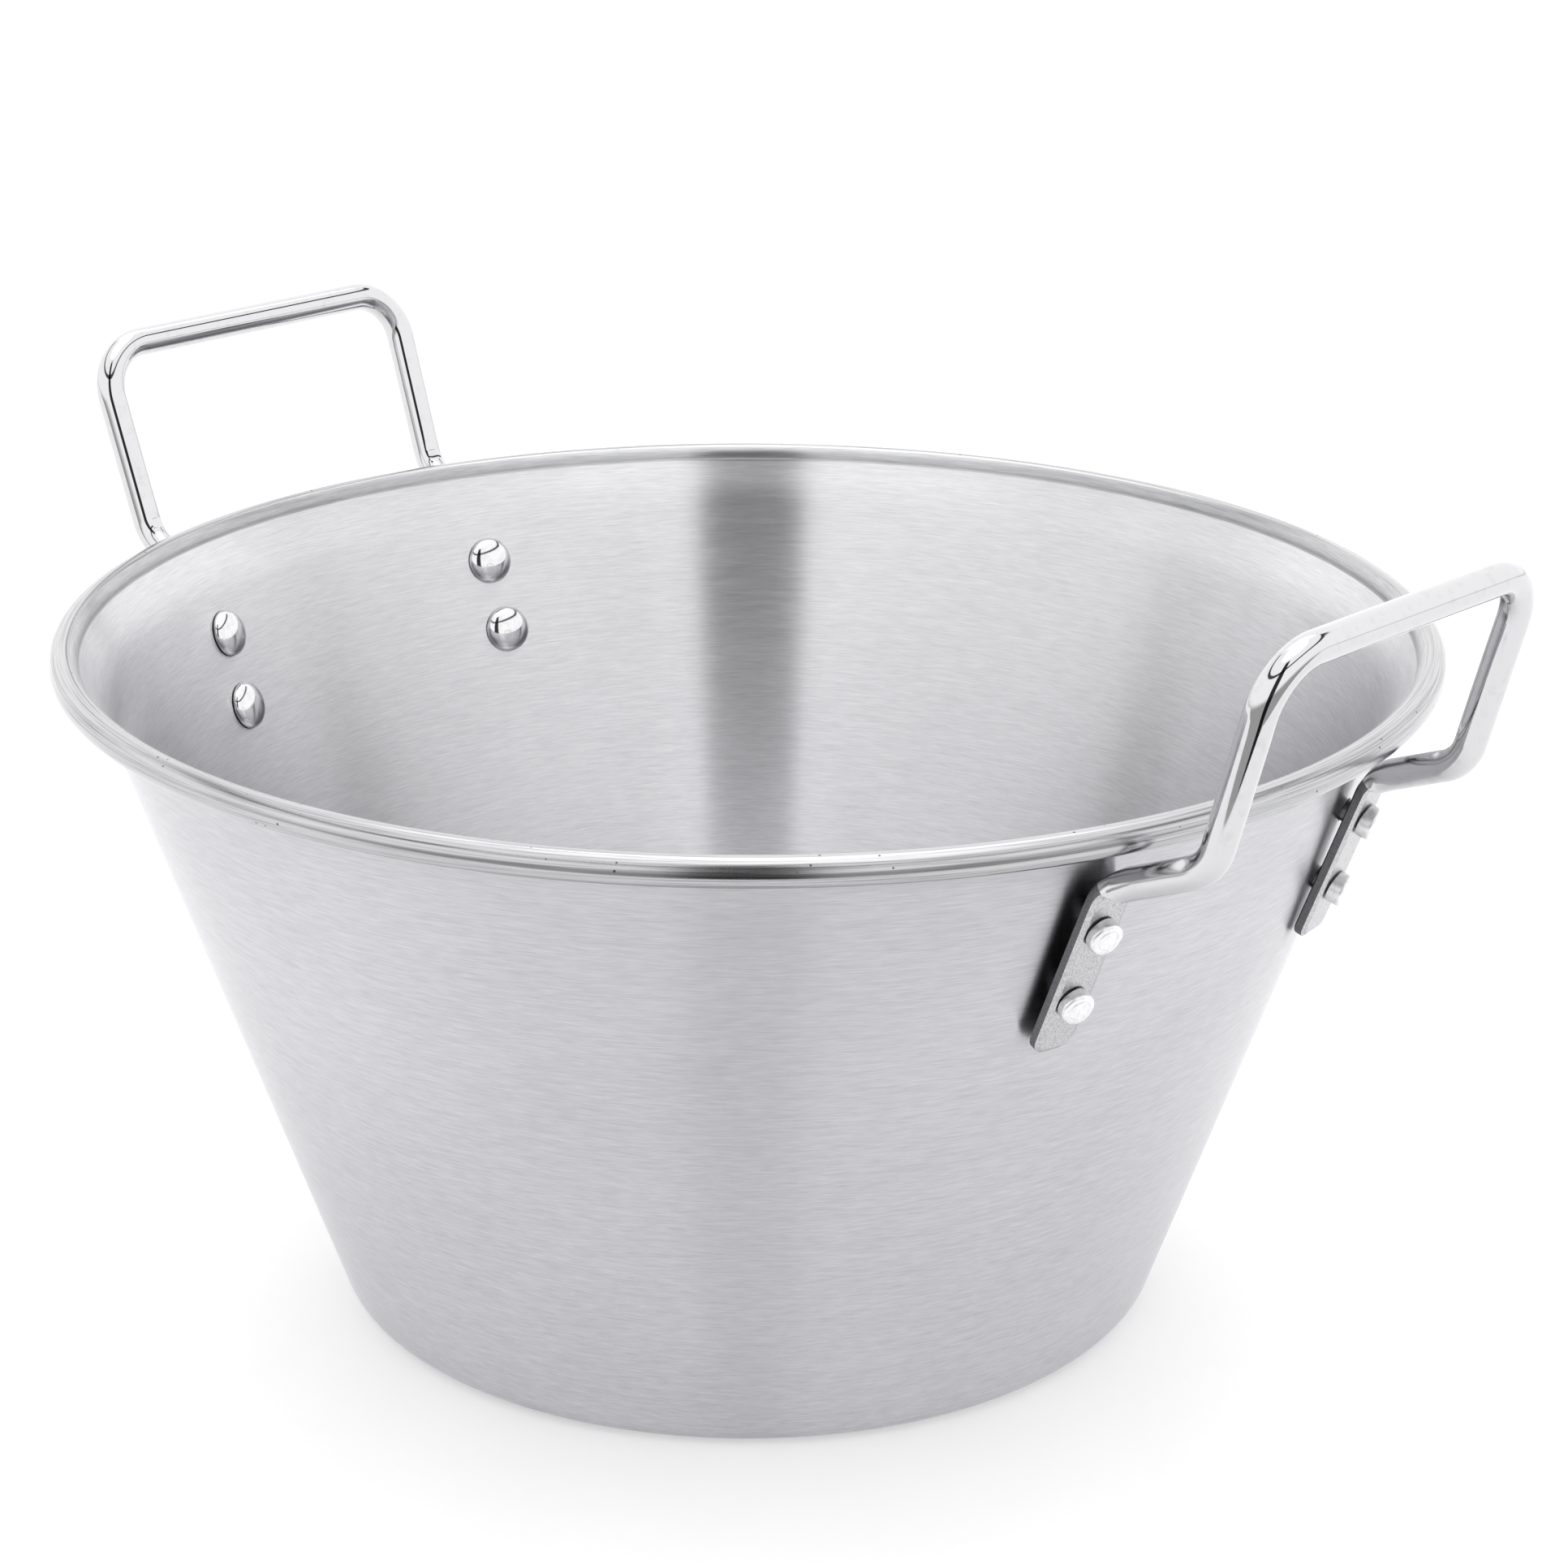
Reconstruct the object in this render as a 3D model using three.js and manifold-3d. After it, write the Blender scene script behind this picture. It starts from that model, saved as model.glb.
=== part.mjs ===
// A conical stainless pan with two upright rod handles, of the kind used as a stock pot.
// Millimetres, +Z up. The origin is the centre of the flat bottom, and the handles stand on the X axis.
import * as THREE from "three";
import { mergeVertices } from "three/addons/utils/BufferGeometryUtils.js";
import Module from "manifold-3d";

// Pressed shell: a flat bottom, a conical wall and a rim curled outwards around a wire.
const SHEET = 1.0;
const BASE_RADIUS = 109.4; // where the outside of the wall would meet the ground
const WALL_SLOPE = 0.3446; // outward run of the wall for each millimetre of height
const BASE_CORNER = 8; // bend between bottom and wall, outside
const BEAD_CENTRE = new THREE.Vector2(176.26, 179.5); // radius and height of the middle of the curl
const BEAD_RADIUS = 3.74; // outside of the curl
const CURL_START = 182; // degrees round the curl, where the shoulder runs into it
const CURL_SWEEP = 320; // degrees of curl; the last 40 stay open underneath
const CREASE_RADIUS = 1.5; // middle of the sheet, where shoulder and curl meet
const SHOULDER_RADIUS = 40; // middle of the sheet, where wall and shoulder meet
const SHOULDER_RISE = 58; // degrees above level
const LATHE_STEPS = 64;
const BEND_STEPS = [4, 2, 2]; // along the base corner, the shoulder and the crease
const CURL_STEPS = 9;

// Reinforcing wire inside the curl.
const WIRE_GAP = 0.34;
const WIRE_SIDES = 8;

// Handles: one round rod each, its two ends pressed flat into tabs that lie along the wall.
const ROD_RADIUS = 4;
const LEG_HALF_SPACING = 50;
const TAB_WIDTH = 12.6;
const TAB_THICKNESS = 3.0;
const TAB_BEVEL_WIDTH = 1.4;
const TAB_BEVEL_DEPTH = 0.7;
const TAB_BELOW = 26; // from the middle of the rivet pair down to the end of the tab
const TAB_ABOVE = 22.5; // and up to the bend where the rod begins
const TAB_END_RADIUS = 4.2;
const TAB_STANDOFF = 2.0; // wall to the back of the tab, at the middle of the rivet pair
const TAB_LEAN = THREE.MathUtils.degToRad(1.65); // the tab leans away from the wall as it rises
const TAB_TWIST = THREE.MathUtils.degToRad(9); // the tab faces this much less far round than the wall
const TAB_BEND_RADIUS = 6.5;
const KNEE_RADIUS = 12; // bend from level to rising
const GRIP_RADIUS = 14; // bend from leg to grip bar
// Where the middle lines of the runs beside a bend would cross: its distance from the axis of the pan,
// its height, and how much wider than the tab it stands. The two handles were bent a little differently.
const RIGHT_BENDS = {
  knee: { out: 189.1, up: 176.3, wider: -0.6 },
  grip: { out: 203.7, up: 227.9, wider: -0.8 },
};
const LEFT_BENDS = {
  knee: { out: 183.2, up: 180, wider: 2.7 },
  grip: { out: 200.6, up: 230, wider: 4.0 },
};
const ROD_STEPS = 76;
const ROD_SIDES = 10;
const SLIVER = 0.01; // shorter edges left by joining rod and tabs are merged

// Rivets: a domed head inside the pan, a shank, and a head formed on the tab.
const RIVET_MID_HEIGHT = 145.85;
const RIVET_HALF_SPACING = 10.4; // along the wall
const SHANK_RADIUS = 2.9;
const HOLE_RADIUS = 3.2;
const DRILL_LENGTH = 24; // long enough to cut through wall and tab
const DOME_RADIUS = 6.6;
const DOME_HEIGHT = 3.1;
const FORMED_RADIUS = 4.3;
const FORMED_HEIGHT = 3.1;
const FORMED_EDGE = 0.9; // rounding of the formed head's edge
const DOME_GAP = 0.4; // the flat underside of the dome clears the curved wall
const FORMED_GAP = 0.45;
const RIVET_STEPS = 14;

const WALL_ANGLE = Math.atan(WALL_SLOPE);
const wasm = await Module();
wasm.setup();

const steel = (color, roughness) => new THREE.MeshStandardMaterial({ color, roughness, metalness: 1 });
const satinSteel = () => steel(0xd4d4d8, 0.32);
const polishedSteel = () => steel(0xe2e2e6, 0.12);
const rivetSteel = () => steel(0xd9d9dd, 0.2);
const wireSteel = () => steel(0x9a9a9c, 0.5);

// ---- solids

function solidOf(geometry) {
  const bare = geometry.clone();
  bare.deleteAttribute("normal");
  bare.deleteAttribute("uv");
  const merged = mergeVertices(bare, 1e-4);
  const vertProperties = merged.getAttribute("position").array;
  const triVerts = new Uint32Array(merged.index.array);
  return new wasm.Manifold(new wasm.Mesh({ numProp: 3, vertProperties, triVerts }));
}

function geometryOf(solid) {
  const mesh = solid.getMesh();
  const geometry = new THREE.BufferGeometry();
  geometry.setAttribute("position", new THREE.BufferAttribute(mesh.vertProperties, 3));
  geometry.setIndex(new THREE.BufferAttribute(mesh.triVerts, 1));
  geometry.computeVertexNormals();
  return geometry;
}

// A body turned about Z. The profile holds (radius, height) points, with the solid on its left.
function turned(profile, steps) {
  return new THREE.LatheGeometry(profile, steps).rotateX(Math.PI / 2);
}

function named(name, geometry, material) {
  const mesh = new THREE.Mesh(geometry, material);
  mesh.name = name;
  return mesh;
}

// ---- paths with round corners

// A circular bend that leaves one straight and runs into the next.
class BendCurve extends THREE.Curve {
  constructor(before, corner, after, radius) {
    super();
    const into = corner.clone().sub(before).normalize();
    const out = after.clone().sub(corner).normalize();
    this.angle = into.angleTo(out);
    this.radius = radius;
    this.tangentLength = radius * Math.tan(this.angle / 2);
    this.start = corner.clone().addScaledVector(into, -this.tangentLength);
    this.end = corner.clone().addScaledVector(out, this.tangentLength);
    const inward = out.clone().sub(into).normalize();
    this.centre = corner.clone().addScaledVector(inward, radius / Math.cos(this.angle / 2));
  }

  getPoint(t, target = new THREE.Vector3()) {
    const from = this.start.clone().sub(this.centre);
    const to = this.end.clone().sub(this.centre);
    const share = Math.sin(this.angle);
    target.copy(this.centre);
    target.addScaledVector(from, Math.sin((1 - t) * this.angle) / share);
    return target.addScaledVector(to, Math.sin(t * this.angle) / share);
  }
}

// Straights joined by bends: corners holds the turning points, radii one bend for each inner corner.
function roundedPath(corners, radii) {
  const path = new THREE.CurvePath();
  let last = corners[0];
  for (let i = 1; i < corners.length - 1; i++) {
    const bend = new BendCurve(corners[i - 1], corners[i], corners[i + 1], radii[i - 1]);
    path.add(new THREE.LineCurve3(last, bend.start));
    path.add(bend);
    last = bend.end;
  }
  path.add(new THREE.LineCurve3(last, corners.at(-1)));
  return path;
}

// ---- wall of the pan

const wallRadius = (height) => BASE_RADIUS + WALL_SLOPE * height;

// A point on the outside of the wall where it crosses the vertical plane y = across,
// with the wall's outward normal there.
function wallPoint(across, height) {
  const turn = Math.asin(across / wallRadius(height));
  const radius = wallRadius(height);
  const point = new THREE.Vector3(radius * Math.cos(turn), across, height);
  const level = Math.cos(WALL_ANGLE);
  const normal = new THREE.Vector3(level * Math.cos(turn), level * Math.sin(turn), -Math.sin(WALL_ANGLE));
  return { point, normal };
}

// The frame of a leg's tab: up along the wall in the plane of the leg, and out from the wall.
function tabFrame(side) {
  const { point, normal } = wallPoint(side * LEG_HALF_SPACING, RIVET_MID_HEIGHT);
  const along = new THREE.Vector3().crossVectors(new THREE.Vector3(0, 1, 0), normal).negate().normalize();
  const across = new THREE.Vector3().crossVectors(along, normal);
  const lean = new THREE.Quaternion().setFromAxisAngle(across, TAB_LEAN);
  const up = along.clone().applyQuaternion(lean);
  const out = normal.clone().applyQuaternion(lean);
  const twist = new THREE.Quaternion().setFromAxisAngle(up, -side * TAB_TWIST);
  out.applyQuaternion(twist);
  across.applyQuaternion(twist);
  const middle = point.clone().addScaledVector(normal, TAB_STANDOFF + TAB_THICKNESS / 2);
  return { up, across, out, middle };
}

// The two rivets of a tab: where each axis crosses the outside of the wall.
function rivetSeats(side) {
  return [-1, 1].map((level) => {
    const height = RIVET_MID_HEIGHT + level * RIVET_HALF_SPACING * Math.cos(WALL_ANGLE);
    return wallPoint(side * LEG_HALF_SPACING, height);
  });
}

// Turns a body made along +Z to stand on a point, facing a direction.
function stoodOn(geometry, point, direction) {
  const turn = new THREE.Quaternion().setFromUnitVectors(new THREE.Vector3(0, 0, 1), direction);
  return geometry.applyQuaternion(turn).translate(point.x, point.y, point.z);
}

function rivetHoles() {
  const holes = [];
  for (const side of [-1, 1]) {
    for (const { point, normal } of rivetSeats(side)) {
      const drill = new THREE.CylinderGeometry(HOLE_RADIUS, HOLE_RADIUS, DRILL_LENGTH, RIVET_STEPS);
      holes.push(solidOf(stoodOn(drill.rotateX(Math.PI / 2), point, normal)));
    }
  }
  return holes;
}

// ---- shell and wire

// The middle line of the sheet, from the axis to the open edge of the curl, with its direction.
function sheetLine() {
  const curlRadius = BEAD_RADIUS - SHEET / 2;
  const onCurl = (degrees) => {
    const a = THREE.MathUtils.degToRad(degrees);
    return new THREE.Vector2(Math.cos(a), Math.sin(a)).multiplyScalar(curlRadius).add(BEAD_CENTRE);
  };
  const startAngle = THREE.MathUtils.degToRad(CURL_START);
  const rise = THREE.MathUtils.degToRad(SHOULDER_RISE);
  const curlHeading = new THREE.Vector2(Math.sin(startAngle), -Math.cos(startAngle));
  const turn = startAngle - Math.PI / 2 - rise;
  const crease = onCurl(CURL_START).addScaledVector(curlHeading, -CREASE_RADIUS * Math.tan(turn / 2));
  const middleRadius = (height) => wallRadius(height) - SHEET / 2 / Math.cos(WALL_ANGLE);
  const reach = (crease.x - middleRadius(crease.y)) / (Math.cos(rise) - WALL_SLOPE * Math.sin(rise));
  const shoulder = new THREE.Vector2(crease.x - reach * Math.cos(rise), crease.y - reach * Math.sin(rise));
  const corners = [
    [0, SHEET / 2],
    [middleRadius(SHEET / 2), SHEET / 2],
    shoulder.toArray(),
    crease.toArray(),
    onCurl(CURL_START).toArray(),
  ].map(([x, y]) => new THREE.Vector3(x, y, 0));
  const path = roundedPath(corners, [BASE_CORNER - SHEET / 2, SHOULDER_RADIUS, CREASE_RADIUS]);
  const line = [{ point: new THREE.Vector2(0, SHEET / 2), heading: new THREE.Vector2(1, 0) }];
  path.curves.filter((curve) => curve instanceof BendCurve).forEach((bend, index) => {
    for (let i = 0; i <= BEND_STEPS[index]; i++) {
      const at = bend.getPoint(i / BEND_STEPS[index]);
      const heading = bend.getTangent(Math.min(Math.max(i / BEND_STEPS[index], 0.001), 0.999));
      line.push({ point: new THREE.Vector2(at.x, at.y), heading: new THREE.Vector2(heading.x, heading.y) });
    }
  });
  for (let i = 1; i <= CURL_STEPS; i++) {
    const degrees = CURL_START - (CURL_SWEEP * i) / CURL_STEPS;
    const a = THREE.MathUtils.degToRad(degrees);
    line.push({ point: onCurl(degrees), heading: new THREE.Vector2(Math.sin(a), -Math.cos(a)) });
  }
  return line;
}

function shell() {
  const line = sheetLine();
  const offset = ({ point, heading }, distance) =>
    new THREE.Vector2(point.x + heading.y * distance, point.y - heading.x * distance);
  const outside = line.map((at) => offset(at, SHEET / 2));
  const inside = line.map((at) => offset(at, -SHEET / 2)).reverse();
  let solid = solidOf(turned([...outside, ...inside], LATHE_STEPS));
  for (const turn of [0, Math.PI]) {
    for (const hole of rivetHoles()) {
      solid = solid.subtract(hole.rotate([0, 0, THREE.MathUtils.radToDeg(turn)]));
    }
  }
  return named("pot_shell", geometryOf(solid), satinSteel());
}

function rimWire() {
  const radius = BEAD_RADIUS - SHEET - WIRE_GAP;
  const profile = [];
  for (let i = 0; i <= WIRE_SIDES; i++) {
    const a = (i % WIRE_SIDES) * ((2 * Math.PI) / WIRE_SIDES);
    profile.push(new THREE.Vector2(Math.cos(a), Math.sin(a)).multiplyScalar(radius).add(BEAD_CENTRE));
  }
  return named("rim_wire", turned(profile, LATHE_STEPS), wireSteel());
}

// ---- handles

function tabSolid(side) {
  const { up, across, out, middle } = tabFrame(side);
  const half = TAB_WIDTH / 2;
  const r = TAB_END_RADIUS;
  const outline = new THREE.Shape();
  outline.moveTo(-half, TAB_ABOVE - r);
  outline.lineTo(-half, -TAB_BELOW + r);
  outline.absarc(-half + r, -TAB_BELOW + r, r, Math.PI, 1.5 * Math.PI);
  outline.absarc(half - r, -TAB_BELOW + r, r, 1.5 * Math.PI, 2 * Math.PI);
  outline.lineTo(half, TAB_ABOVE - r);
  outline.absarc(half - r, TAB_ABOVE - r, r, 0, 0.5 * Math.PI);
  outline.absarc(-half + r, TAB_ABOVE - r, r, 0.5 * Math.PI, Math.PI);
  const plate = new THREE.ExtrudeGeometry(outline, {
    depth: TAB_THICKNESS - 2 * TAB_BEVEL_DEPTH,
    curveSegments: 4,
    bevelSegments: 1,
    bevelSize: TAB_BEVEL_WIDTH,
    bevelOffset: -TAB_BEVEL_WIDTH,
    bevelThickness: TAB_BEVEL_DEPTH,
  }).translate(0, 0, TAB_BEVEL_DEPTH - TAB_THICKNESS / 2);
  const place = new THREE.Matrix4().makeBasis(across, up, out).setPosition(middle);
  return solidOf(plate.applyMatrix4(place));
}

// The rod's middle line, from the top of the front tab over the grip to the top of the rear tab.
function rodPath({ knee, grip }) {
  const legCorners = (side) => {
    const { up, middle } = tabFrame(side);
    const tabTop = middle.clone().addScaledVector(up, TAB_ABOVE);
    return [
      tabTop.clone().addScaledVector(up, -TAB_ABOVE),
      tabTop,
      new THREE.Vector3(knee.out, side * (LEG_HALF_SPACING + knee.wider), knee.up),
      new THREE.Vector3(grip.out, side * (LEG_HALF_SPACING + grip.wider), grip.up),
    ];
  };
  const corners = [...legCorners(-1), ...legCorners(1).reverse()];
  const legRadii = [TAB_BEND_RADIUS, KNEE_RADIUS, GRIP_RADIUS];
  const whole = roundedPath(corners, [...legRadii, ...legRadii.toReversed()]);
  // The round part begins half way round the tab's bend, clear of the wall.
  const firstBend = whole.curves[1];
  const lastBend = whole.curves.at(-2);
  const round = new THREE.CurvePath();
  round.add(new PartCurve(firstBend, 0.5, 1));
  whole.curves.slice(2, -2).forEach((curve) => round.add(curve));
  round.add(new PartCurve(lastBend, 0, 0.5));
  return round;
}

// The stretch of a curve between two of its parameters.
class PartCurve extends THREE.Curve {
  constructor(whole, from, to) {
    super();
    Object.assign(this, { whole, from, to });
  }

  getPoint(t, target) {
    return this.whole.getPoint(this.from + (this.to - this.from) * t, target);
  }
}

function rodSolid(bends) {
  const section = new THREE.Shape();
  const fullRadius = ROD_RADIUS / Math.sqrt(Math.cos(Math.PI / ROD_SIDES)); // keeps the rod's girth
  for (let i = 0; i < ROD_SIDES; i++) {
    const a = ((i + 0.5) * 2 * Math.PI) / ROD_SIDES;
    const place = i ? "lineTo" : "moveTo";
    section[place](fullRadius * Math.cos(a), fullRadius * Math.sin(a));
  }
  section.closePath();
  const extrudePath = rodPath(bends);
  return solidOf(new THREE.ExtrudeGeometry(section, { steps: ROD_STEPS, extrudePath }));
}

function handle(name, bends) {
  let solid = rodSolid(bends);
  for (const side of [-1, 1]) solid = solid.add(tabSolid(side));
  for (const hole of rivetHoles()) solid = solid.subtract(hole);
  return named(name, geometryOf(solid.simplify(SLIVER)), polishedSteel());
}

// ---- rivets

// Turned along its own axis: height 0 is the outside of the wall.
function rivetProfile(tabFace) {
  const domeBase = -SHEET - DOME_GAP;
  const formedBase = tabFace + FORMED_GAP;
  const formedTop = formedBase + FORMED_HEIGHT;
  const profile = [new THREE.Vector2(0, domeBase - DOME_HEIGHT)];
  for (let i = 1; i <= 4; i++) {
    const a = (i * Math.PI) / 8;
    profile.push(new THREE.Vector2(DOME_RADIUS * Math.sin(a), domeBase - DOME_HEIGHT * Math.cos(a)));
  }
  profile.push(new THREE.Vector2(SHANK_RADIUS, domeBase));
  profile.push(new THREE.Vector2(SHANK_RADIUS, formedBase));
  profile.push(new THREE.Vector2(FORMED_RADIUS, formedBase));
  profile.push(new THREE.Vector2(FORMED_RADIUS, formedTop - FORMED_EDGE));
  profile.push(new THREE.Vector2(FORMED_RADIUS - FORMED_EDGE * 0.3, formedTop - FORMED_EDGE * 0.3));
  profile.push(new THREE.Vector2(FORMED_RADIUS - FORMED_EDGE, formedTop));
  profile.push(new THREE.Vector2(0, formedTop));
  return profile;
}

// Tilts the flat underside of the formed head, all at one height, to lie along the tab.
function tiltUnderside(body, height, axis, out) {
  const back = new THREE.Quaternion().setFromUnitVectors(axis, new THREE.Vector3(0, 0, 1));
  const tabNormal = out.clone().applyQuaternion(back);
  const places = body.getAttribute("position");
  for (let i = 0; i < places.count; i++) {
    if (Math.abs(places.getZ(i) - height) > SLIVER) continue;
    const rise = -(tabNormal.x * places.getX(i) + tabNormal.y * places.getY(i)) / tabNormal.z;
    places.setZ(i, height + rise);
  }
}

function rivet(name, side, level) {
  const { point, normal } = rivetSeats(side)[level === "lower" ? 0 : 1];
  const { out, middle } = tabFrame(side);
  const face = middle.clone().addScaledVector(out, TAB_THICKNESS / 2);
  const tabFace = face.sub(point).dot(out) / normal.dot(out);
  const body = turned(rivetProfile(tabFace), RIVET_STEPS);
  tiltUnderside(body, tabFace + FORMED_GAP, normal, out);
  return named(name, stoodOn(body, point, normal), rivetSteel());
}

// ---- the pan

function handleGroup(end, turn, bends) {
  const group = new THREE.Group();
  group.rotation.z = turn;
  group.add(handle("handle_" + end, bends));
  for (const side of [-1, 1]) {
    const face = (side < 0) === (turn === 0) ? "front" : "rear";
    for (const level of ["lower", "upper"]) {
      group.add(rivet(["rivet", end, face, level].join("_"), side, level));
    }
  }
  return group;
}

const pot = new THREE.Group();
pot.add(shell());
pot.add(rimWire());
pot.add(handleGroup("right", 0, RIGHT_BENDS));
pot.add(handleGroup("left", Math.PI, LEFT_BENDS));

export default pot;
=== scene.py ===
"""The looks of a conical stainless pan with two upright rod handles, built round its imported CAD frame.

Metres, +Z up. The pan stands on its flat bottom at the origin and its handles stand on the X axis.
"""
import math

import bmesh
import bpy
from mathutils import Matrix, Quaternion, Vector, noise


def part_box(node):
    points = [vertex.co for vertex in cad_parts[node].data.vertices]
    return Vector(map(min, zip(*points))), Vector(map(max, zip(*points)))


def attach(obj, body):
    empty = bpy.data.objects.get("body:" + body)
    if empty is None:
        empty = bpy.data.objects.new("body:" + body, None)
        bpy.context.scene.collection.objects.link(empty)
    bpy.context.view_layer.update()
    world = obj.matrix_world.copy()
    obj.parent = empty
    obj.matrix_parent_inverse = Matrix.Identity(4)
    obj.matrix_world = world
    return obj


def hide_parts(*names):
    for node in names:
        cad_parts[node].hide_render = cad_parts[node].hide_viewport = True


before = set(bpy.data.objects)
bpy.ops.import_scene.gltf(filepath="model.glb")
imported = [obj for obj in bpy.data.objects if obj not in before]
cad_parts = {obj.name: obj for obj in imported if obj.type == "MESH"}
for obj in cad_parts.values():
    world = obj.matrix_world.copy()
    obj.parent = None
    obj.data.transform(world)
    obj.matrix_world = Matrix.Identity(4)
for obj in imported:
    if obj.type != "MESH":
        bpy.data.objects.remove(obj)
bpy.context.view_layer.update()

# ---- sizes, the same as the CAD model's where it has them

SHEET = 0.001
BASE_RADIUS = 0.1094  # where the outside of the wall would meet the ground
WALL_SLOPE = 0.3446  # outward run of the wall for each metre of height
WALL_ANGLE = math.atan(WALL_SLOPE)
BASE_CORNER = 0.008  # bend between bottom and wall, outside
BEAD_RADIUS = 0.00374  # outside of the curl
CURL_START = 182.0  # degrees round the curl, where the shoulder runs into it
CURL_SWEEP = 320.0  # degrees of curl; the last 40 stay open underneath
CREASE_RADIUS = 0.0015  # middle of the sheet, where shoulder and curl meet
SHOULDER_RADIUS = 0.040  # middle of the sheet, where wall and shoulder meet
SHOULDER_RISE = 58.0  # degrees above level
POLISH_PAST_TOP = 0.0019  # how far the polish of the curl reaches inwards past its top

WIRE_LOW, WIRE_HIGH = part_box("rim_wire")
WIRE_RADIUS = (WIRE_HIGH.z - WIRE_LOW.z) / 2
BEAD_CENTRE = Vector((WIRE_HIGH.x - WIRE_RADIUS, (WIRE_HIGH.z + WIRE_LOW.z) / 2))

ROD_RADIUS = 0.004
LEG_HALF_SPACING = 0.050
TAB_HALF_WIDTH = 0.0063
TAB_HALF_THICKNESS = 0.0015
TAB_BEVEL_WIDTH = 0.0014
TAB_BEVEL_DEPTH = 0.0007
TAB_BACK_EDGE = 0.0004  # small chamfer round the back
TAB_BELOW = 0.026  # from the middle of the rivet pair down to the end of the tab
TAB_ABOVE = 0.0225  # and up to the bend where the rod begins
TAB_END_RADIUS = 0.0042
TAB_STANDOFF = 0.0020  # wall to the back of the tab, at the middle of the rivet pair
TAB_LEAN = math.radians(1.65)  # the tab leans away from the wall as it rises
TAB_TWIST = math.radians(9)  # the tab faces this much less far round than the wall
TAB_BEND_RADIUS = 0.0065
KNEE_RADIUS = 0.012  # bend from level to rising
GRIP_RADIUS = 0.014  # bend from leg to grip bar
# Where the middle lines of the runs beside a bend would cross: its distance from the axis of the pan,
# its height, and how much wider than the tab it stands. The two handles were bent a little differently.
RIGHT_BENDS = {"knee": (0.1891, 0.1763, -0.0006), "grip": (0.2037, 0.2279, -0.0008)}
LEFT_BENDS = {"knee": (0.1832, 0.180, 0.0027), "grip": (0.2006, 0.230, 0.0040)}

# Places along a handle, from the end of its tab.
BEND_TRAVEL = TAB_BELOW + TAB_ABOVE  # about the middle of the bend where the rod begins
FRONT_STEP = (BEND_TRAVEL - 0.0010, BEND_TRAVEL + 0.0009)  # the short step that the press left in front
SIDE_SWELL = (BEND_TRAVEL - 0.0045, BEND_TRAVEL + 0.0050)  # the longer swell of the sides and the back
DIE_LENGTH = 0.0044  # a small flat, left by the bending die on the inner side of the knee, up to its end
DIE_EDGE = 0.0002
DIE_DEPTH = 0.00045

RIVET_MID_HEIGHT = 0.14585
RIVET_HALF_SPACING = 0.0104  # along the wall
SHANK_RADIUS = 0.0029
HOLE_RADIUS = 0.0032
DRILL_HALF_LENGTH = 0.012  # enough to cut through wall and tab
DOME_RADIUS = 0.0066
DOME_HEIGHT = 0.0031
DOME_GAP = 0.0004  # from the wall to the flat underside of the dome
FORMED_RADIUS = 0.0043
FORMED_HEIGHT = 0.0031
FORMED_EDGE = 0.0009  # rounding of the formed head's edge
FORMED_GAP = 0.00045  # from the tab to the formed head
FOOT_SHARE = 0.985  # the formed head's width at its foot, as a share of the whole
FOOT_HEIGHT = 0.0006
RING_SHARE = 0.62  # the shallow ring in the formed head's face, as a share of its radius
GROOVE_HALF_WIDTH = 0.0003
CROWN = 0.00025  # how far the face inside the ring stands up
HAMMER_SPACING = 0.0035  # unevenness of the formed heads: its size,
HAMMER_WIDTH = 0.03  # its reach sideways as a share of the radius,
HAMMER_HEIGHT = 0.00018  # and its reach upwards,
HAMMER_FOOT = 0.001  # which comes up over this height from the foot

TURN_STEPS = 288  # round the pan
CURL_STEPS = 56
WIRE_SIDES = 32
RIVET_STEPS = 48  # round a rivet or its hole
DOME_STEPS = 14
EDGE_STEPS = 6
END_STEPS = 8  # along the rounded end of a tab
SMOOTH_ANGLE = math.radians(20)
ON_AXIS = 1e-9  # a smaller radius is a point on the axis
SAME_HEIGHT = 1e-6  # a smaller difference is none


# ---- small geometry tools

def smooth_step(low, high, value):
    t = min(1.0, max(0.0, (value - low) / (high - low)))
    return t * t * (3 - 2 * t)


def mix(a, b, share):
    return a + (b - a) * share


def bend_points(before, corner, after, radius, steps):
    """Points on the circular bend that joins two straights, its two ends among them."""
    into = (corner - before).normalized()
    out = (after - corner).normalized()
    angle = into.angle(out)
    reach = radius * math.tan(angle / 2)
    start, end = corner - into * reach, corner + out * reach
    centre = corner + (out - into).normalized() * (radius / math.cos(angle / 2))
    points = []
    for i in range(steps + 1):
        t = i / steps
        a, b = math.sin((1 - t) * angle), math.sin(t * angle)
        points.append(centre + ((start - centre) * a + (end - centre) * b) / math.sin(angle))
    return points


def rounded_line(corners, radii, steps, spacing):
    """Straights joined by bends, with a point about every `spacing` along the straights."""
    line = [corners[0]]

    def run_to(point):
        last = line[-1]
        count = max(1, round((point - last).length / spacing))
        line.extend(last.lerp(point, (i + 1) / count) for i in range(count))

    for i, radius in enumerate(radii):
        bend = bend_points(corners[i], corners[i + 1], corners[i + 2], radius, steps[i])
        run_to(bend[0])
        line.extend(bend[1:])
    run_to(corners[-1])
    return line


def headings_of(line):
    """The direction of the line at each of its points."""
    last = len(line) - 1
    return [(line[min(i + 1, last)] - line[max(i - 1, 0)]).normalized() for i in range(last + 1)]


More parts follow.
